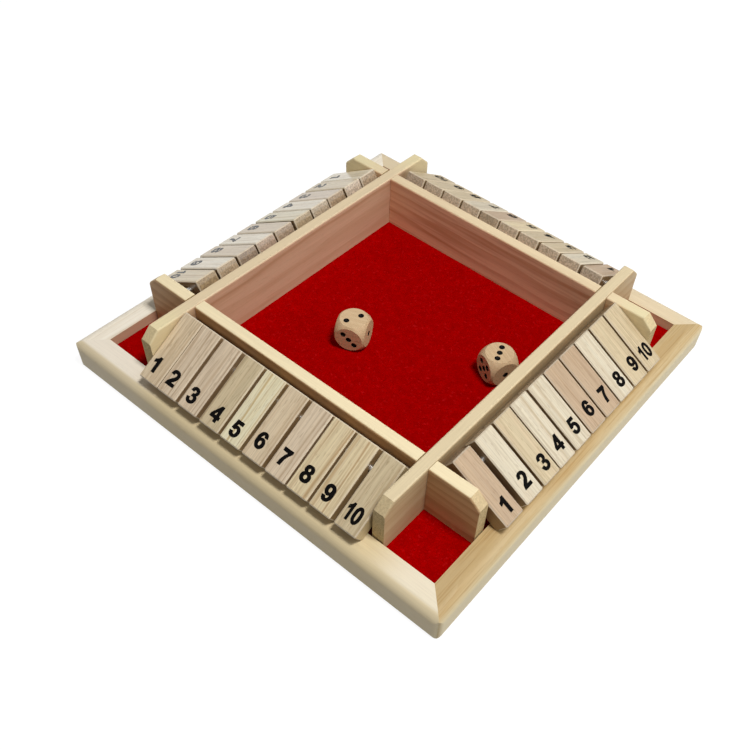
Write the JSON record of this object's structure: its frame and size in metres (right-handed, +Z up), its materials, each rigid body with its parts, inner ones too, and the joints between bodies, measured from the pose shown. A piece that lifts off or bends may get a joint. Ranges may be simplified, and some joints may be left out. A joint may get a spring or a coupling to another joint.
{
  "type": "four-player shut the box",
  "caption": "Square wooden dice game box: felt-lined tray with half-lapped walls, hinged number flaps on steel rods along every side, open corner pockets and wooden dice.",
  "frame": {"origin": "middle of the frame's underside, on the table", "axes": "+Z up out of the tray, -Y towards the front player, +X to that player's right"},
  "size_m": [0.29, 0.29, 0.0526],
  "materials": {
    "frame_pine": "sanded, clear satin lacquer",
    "wall_pine": "sanded, clear satin lacquer",
    "flap_wood": "sanded, thin clear lacquer",
    "dice_wood": "tumbled and waxed",
    "birch_plywood": "raw",
    "red_felt": "pressed felt",
    "rod_steel": "bright drawn",
    "nail_steel": "bright wire"
  },
  "bodies": {
    "box": {"floor_board": "birch_plywood", "felt_lining": "red_felt", "rail_front": "frame_pine", "rail_right": "frame_pine", "rail_back": "frame_pine", "rail_left": "frame_pine", "wall_front": "wall_pine", "wall_right": "wall_pine", "wall_back": "wall_pine", "wall_left": "wall_pine", "hinge_rod_front": "rod_steel", "hinge_rod_right": "rod_steel", "hinge_rod_back": "rod_steel", "hinge_rod_left": "rod_steel", "wall_nails": "nail_steel"},
    "flap_front_1": {"flap_front_1": "flap_wood"},
    "flap_front_2": {"flap_front_2": "flap_wood"},
    "flap_front_3": {"flap_front_3": "flap_wood"},
    "flap_front_4": {"flap_front_4": "flap_wood"},
    "flap_front_5": {"flap_front_5": "flap_wood"},
    "flap_front_6": {"flap_front_6": "flap_wood"},
    "flap_front_7": {"flap_front_7": "flap_wood"},
    "flap_front_8": {"flap_front_8": "flap_wood"},
    "flap_front_9": {"flap_front_9": "flap_wood"},
    "flap_front_10": {"flap_front_10": "flap_wood"},
    "flap_right_1": {"flap_right_1": "flap_wood"},
    "flap_right_2": {"flap_right_2": "flap_wood"},
    "flap_right_3": {"flap_right_3": "flap_wood"},
    "flap_right_4": {"flap_right_4": "flap_wood"},
    "flap_right_5": {"flap_right_5": "flap_wood"},
    "flap_right_6": {"flap_right_6": "flap_wood"},
    "flap_right_7": {"flap_right_7": "flap_wood"},
    "flap_right_8": {"flap_right_8": "flap_wood"},
    "flap_right_9": {"flap_right_9": "flap_wood"},
    "flap_right_10": {"flap_right_10": "flap_wood"},
    "flap_back_1": {"flap_back_1": "flap_wood"},
    "flap_back_2": {"flap_back_2": "flap_wood"},
    "flap_back_3": {"flap_back_3": "flap_wood"},
    "flap_back_4": {"flap_back_4": "flap_wood"},
    "flap_back_5": {"flap_back_5": "flap_wood"},
    "flap_back_6": {"flap_back_6": "flap_wood"},
    "flap_back_7": {"flap_back_7": "flap_wood"},
    "flap_back_8": {"flap_back_8": "flap_wood"},
    "flap_back_9": {"flap_back_9": "flap_wood"},
    "flap_back_10": {"flap_back_10": "flap_wood"},
    "flap_left_1": {"flap_left_1": "flap_wood"},
    "flap_left_2": {"flap_left_2": "flap_wood"},
    "flap_left_3": {"flap_left_3": "flap_wood"},
    "flap_left_4": {"flap_left_4": "flap_wood"},
    "flap_left_5": {"flap_left_5": "flap_wood"},
    "flap_left_6": {"flap_left_6": "flap_wood"},
    "flap_left_7": {"flap_left_7": "flap_wood"},
    "flap_left_8": {"flap_left_8": "flap_wood"},
    "flap_left_9": {"flap_left_9": "flap_wood"},
    "flap_left_10": {"flap_left_10": "flap_wood"},
    "die_left": {"die_left": "dice_wood"},
    "die_right": {"die_right": "dice_wood"}
  },
  "joints": [
    {"name": "flap_front_1_turn", "type": "hinge", "parent": "box", "child": "flap_front_1", "pos_m": [0, -0.10765, 0.0422], "axis": [-1, 0, 0], "range_deg": [0, 156.8]},
    {"name": "flap_front_2_turn", "type": "hinge", "parent": "box", "child": "flap_front_2", "pos_m": [0, -0.10765, 0.0422], "axis": [-1, 0, 0], "range_deg": [0, 156.8]},
    {"name": "flap_front_3_turn", "type": "hinge", "parent": "box", "child": "flap_front_3", "pos_m": [0, -0.10765, 0.0422], "axis": [-1, 0, 0], "range_deg": [0, 156.8]},
    {"name": "flap_front_4_turn", "type": "hinge", "parent": "box", "child": "flap_front_4", "pos_m": [0, -0.10765, 0.0422], "axis": [-1, 0, 0], "range_deg": [0, 156.8]},
    {"name": "flap_front_5_turn", "type": "hinge", "parent": "box", "child": "flap_front_5", "pos_m": [0, -0.10765, 0.0422], "axis": [-1, 0, 0], "range_deg": [0, 156.8]},
    {"name": "flap_front_6_turn", "type": "hinge", "parent": "box", "child": "flap_front_6", "pos_m": [0, -0.10765, 0.0422], "axis": [-1, 0, 0], "range_deg": [0, 156.8]},
    {"name": "flap_front_7_turn", "type": "hinge", "parent": "box", "child": "flap_front_7", "pos_m": [0, -0.10765, 0.0422], "axis": [-1, 0, 0], "range_deg": [0, 156.8]},
    {"name": "flap_front_8_turn", "type": "hinge", "parent": "box", "child": "flap_front_8", "pos_m": [0, -0.10765, 0.0422], "axis": [-1, 0, 0], "range_deg": [0, 156.8]},
    {"name": "flap_front_9_turn", "type": "hinge", "parent": "box", "child": "flap_front_9", "pos_m": [0, -0.10765, 0.0422], "axis": [-1, 0, 0], "range_deg": [0, 156.8]},
    {"name": "flap_front_10_turn", "type": "hinge", "parent": "box", "child": "flap_front_10", "pos_m": [0, -0.10765, 0.0422], "axis": [-1, 0, 0], "range_deg": [0, 156.8]},
    {"name": "flap_right_1_turn", "type": "hinge", "parent": "box", "child": "flap_right_1", "pos_m": [0.10765, 0, 0.0422], "axis": [0, -1, 0], "range_deg": [0, 156.8]},
    {"name": "flap_right_2_turn", "type": "hinge", "parent": "box", "child": "flap_right_2", "pos_m": [0.10765, 0, 0.0422], "axis": [0, -1, 0], "range_deg": [0, 156.8]},
    {"name": "flap_right_3_turn", "type": "hinge", "parent": "box", "child": "flap_right_3", "pos_m": [0.10765, 0, 0.0422], "axis": [0, -1, 0], "range_deg": [0, 156.8]},
    {"name": "flap_right_4_turn", "type": "hinge", "parent": "box", "child": "flap_right_4", "pos_m": [0.10765, 0, 0.0422], "axis": [0, -1, 0], "range_deg": [0, 156.8]},
    {"name": "flap_right_5_turn", "type": "hinge", "parent": "box", "child": "flap_right_5", "pos_m": [0.10765, 0, 0.0422], "axis": [0, -1, 0], "range_deg": [0, 156.8]},
    {"name": "flap_right_6_turn", "type": "hinge", "parent": "box", "child": "flap_right_6", "pos_m": [0.10765, 0, 0.0422], "axis": [0, -1, 0], "range_deg": [0, 156.8]},
    {"name": "flap_right_7_turn", "type": "hinge", "parent": "box", "child": "flap_right_7", "pos_m": [0.10765, 0, 0.0422], "axis": [0, -1, 0], "range_deg": [0, 156.8]},
    {"name": "flap_right_8_turn", "type": "hinge", "parent": "box", "child": "flap_right_8", "pos_m": [0.10765, 0, 0.0422], "axis": [0, -1, 0], "range_deg": [0, 156.8]},
    {"name": "flap_right_9_turn", "type": "hinge", "parent": "box", "child": "flap_right_9", "pos_m": [0.10765, 0, 0.0422], "axis": [0, -1, 0], "range_deg": [0, 156.8]},
    {"name": "flap_right_10_turn", "type": "hinge", "parent": "box", "child": "flap_right_10", "pos_m": [0.10765, 0, 0.0422], "axis": [0, -1, 0], "range_deg": [0, 156.8]},
    {"name": "flap_back_1_turn", "type": "hinge", "parent": "box", "child": "flap_back_1", "pos_m": [0, 0.10765, 0.0422], "axis": [1, 0, 0], "range_deg": [0, 156.8]},
    {"name": "flap_back_2_turn", "type": "hinge", "parent": "box", "child": "flap_back_2", "pos_m": [0, 0.10765, 0.0422], "axis": [1, 0, 0], "range_deg": [0, 156.8]},
    {"name": "flap_back_3_turn", "type": "hinge", "parent": "box", "child": "flap_back_3", "pos_m": [0, 0.10765, 0.0422], "axis": [1, 0, 0], "range_deg": [0, 156.8]},
    {"name": "flap_back_4_turn", "type": "hinge", "parent": "box", "child": "flap_back_4", "pos_m": [0, 0.10765, 0.0422], "axis": [1, 0, 0], "range_deg": [0, 156.8]},
    {"name": "flap_back_5_turn", "type": "hinge", "parent": "box", "child": "flap_back_5", "pos_m": [0, 0.10765, 0.0422], "axis": [1, 0, 0], "range_deg": [0, 156.8]},
    {"name": "flap_back_6_turn", "type": "hinge", "parent": "box", "child": "flap_back_6", "pos_m": [0, 0.10765, 0.0422], "axis": [1, 0, 0], "range_deg": [0, 156.8]},
    {"name": "flap_back_7_turn", "type": "hinge", "parent": "box", "child": "flap_back_7", "pos_m": [0, 0.10765, 0.0422], "axis": [1, 0, 0], "range_deg": [0, 156.8]},
    {"name": "flap_back_8_turn", "type": "hinge", "parent": "box", "child": "flap_back_8", "pos_m": [0, 0.10765, 0.0422], "axis": [1, 0, 0], "range_deg": [0, 156.8]},
    {"name": "flap_back_9_turn", "type": "hinge", "parent": "box", "child": "flap_back_9", "pos_m": [0, 0.10765, 0.0422], "axis": [1, 0, 0], "range_deg": [0, 156.8]},
    {"name": "flap_back_10_turn", "type": "hinge", "parent": "box", "child": "flap_back_10", "pos_m": [0, 0.10765, 0.0422], "axis": [1, 0, 0], "range_deg": [0, 156.8]},
    {"name": "flap_left_1_turn", "type": "hinge", "parent": "box", "child": "flap_left_1", "pos_m": [-0.10765, 0, 0.0422], "axis": [0, 1, 0], "range_deg": [0, 156.8]},
    {"name": "flap_left_2_turn", "type": "hinge", "parent": "box", "child": "flap_left_2", "pos_m": [-0.10765, 0, 0.0422], "axis": [0, 1, 0], "range_deg": [0, 156.8]},
    {"name": "flap_left_3_turn", "type": "hinge", "parent": "box", "child": "flap_left_3", "pos_m": [-0.10765, 0, 0.0422], "axis": [0, 1, 0], "range_deg": [0, 156.8]},
    {"name": "flap_left_4_turn", "type": "hinge", "parent": "box", "child": "flap_left_4", "pos_m": [-0.10765, 0, 0.0422], "axis": [0, 1, 0], "range_deg": [0, 156.8]},
    {"name": "flap_left_5_turn", "type": "hinge", "parent": "box", "child": "flap_left_5", "pos_m": [-0.10765, 0, 0.0422], "axis": [0, 1, 0], "range_deg": [0, 156.8]},
    {"name": "flap_left_6_turn", "type": "hinge", "parent": "box", "child": "flap_left_6", "pos_m": [-0.10765, 0, 0.0422], "axis": [0, 1, 0], "range_deg": [0, 156.8]},
    {"name": "flap_left_7_turn", "type": "hinge", "parent": "box", "child": "flap_left_7", "pos_m": [-0.10765, 0, 0.0422], "axis": [0, 1, 0], "range_deg": [0, 156.8]},
    {"name": "flap_left_8_turn", "type": "hinge", "parent": "box", "child": "flap_left_8", "pos_m": [-0.10765, 0, 0.0422], "axis": [0, 1, 0], "range_deg": [0, 156.8]},
    {"name": "flap_left_9_turn", "type": "hinge", "parent": "box", "child": "flap_left_9", "pos_m": [-0.10765, 0, 0.0422], "axis": [0, 1, 0], "range_deg": [0, 156.8]},
    {"name": "flap_left_10_turn", "type": "hinge", "parent": "box", "child": "flap_left_10", "pos_m": [-0.10765, 0, 0.0422], "axis": [0, 1, 0], "range_deg": [0, 156.8]},
    {"name": "die_left_lift", "type": "slide", "parent": "box", "child": "die_left", "axis": [0, 0, 1], "range_m": [0, 0.06]},
    {"name": "die_right_lift", "type": "slide", "parent": "box", "child": "die_right", "axis": [0, 0, 1], "range_m": [0, 0.06]}
  ]
}
